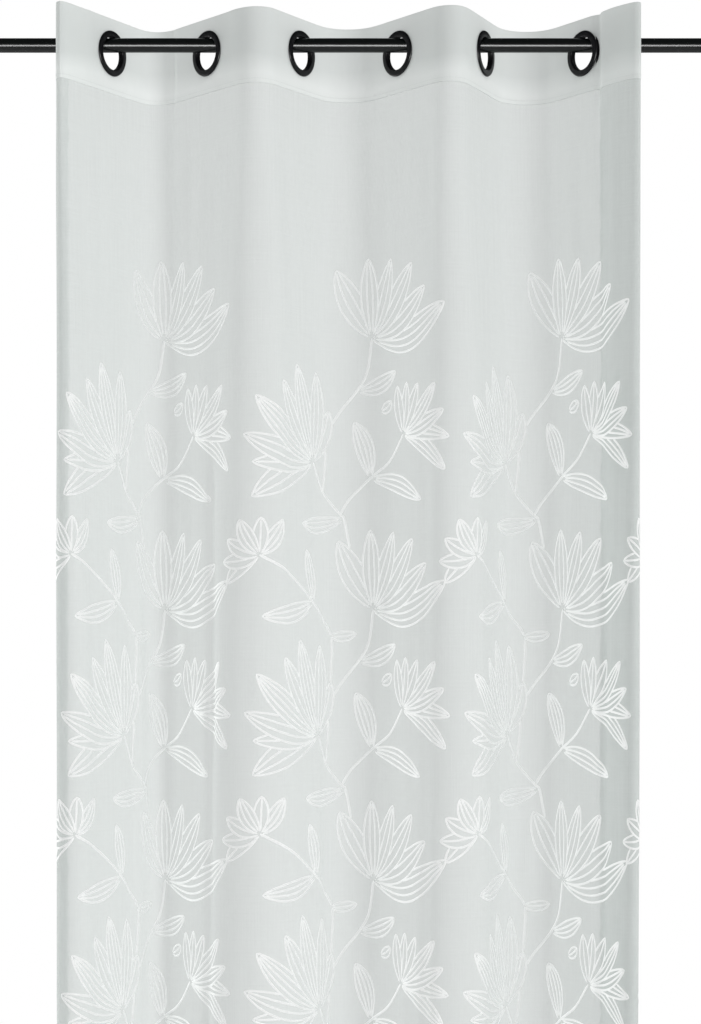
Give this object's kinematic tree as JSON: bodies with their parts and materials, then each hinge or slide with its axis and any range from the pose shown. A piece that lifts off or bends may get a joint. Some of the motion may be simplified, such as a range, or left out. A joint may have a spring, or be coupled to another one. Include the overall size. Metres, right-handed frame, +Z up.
{
  "type": "sheer voile curtain on a rod",
  "caption": "Sheer voile curtain with an opaque eyelet heading, trailing raised flower embroidery and soft vertical folds, hung on a plain round black rod.",
  "frame": {"origin": "middle of the rod's axis", "axes": "+X along the rod to the right as seen from the room, +Y towards the window, +Z up"},
  "size_m": [1.0286, 0.1601, 2.4],
  "materials": {
    "heading_cloth": "doubled, stiffened pale cool grey cloth, matte",
    "voile": "sheer pale cool grey voile with a fine slub and raised embroidery",
    "eyelet_plastic": "satin black",
    "rod_metal": "satin black paint",
    "cap_plastic": "matte black"
  },
  "bodies": {
    "root": {"heading_band": "heading_cloth", "voile_panel": "voile", "eyelet_front_0": "eyelet_plastic", "eyelet_front_1": "eyelet_plastic", "eyelet_front_2": "eyelet_plastic", "eyelet_front_3": "eyelet_plastic", "eyelet_front_4": "eyelet_plastic", "eyelet_front_5": "eyelet_plastic", "eyelet_front_6": "eyelet_plastic", "eyelet_front_7": "eyelet_plastic", "eyelet_back_0": "eyelet_plastic", "eyelet_back_1": "eyelet_plastic", "eyelet_back_2": "eyelet_plastic", "eyelet_back_3": "eyelet_plastic", "eyelet_back_4": "eyelet_plastic", "eyelet_back_5": "eyelet_plastic", "eyelet_back_6": "eyelet_plastic", "eyelet_back_7": "eyelet_plastic", "rod": "rod_metal", "rod_cap_left": "cap_plastic", "rod_cap_right": "cap_plastic"}
  },
  "joints": []
}
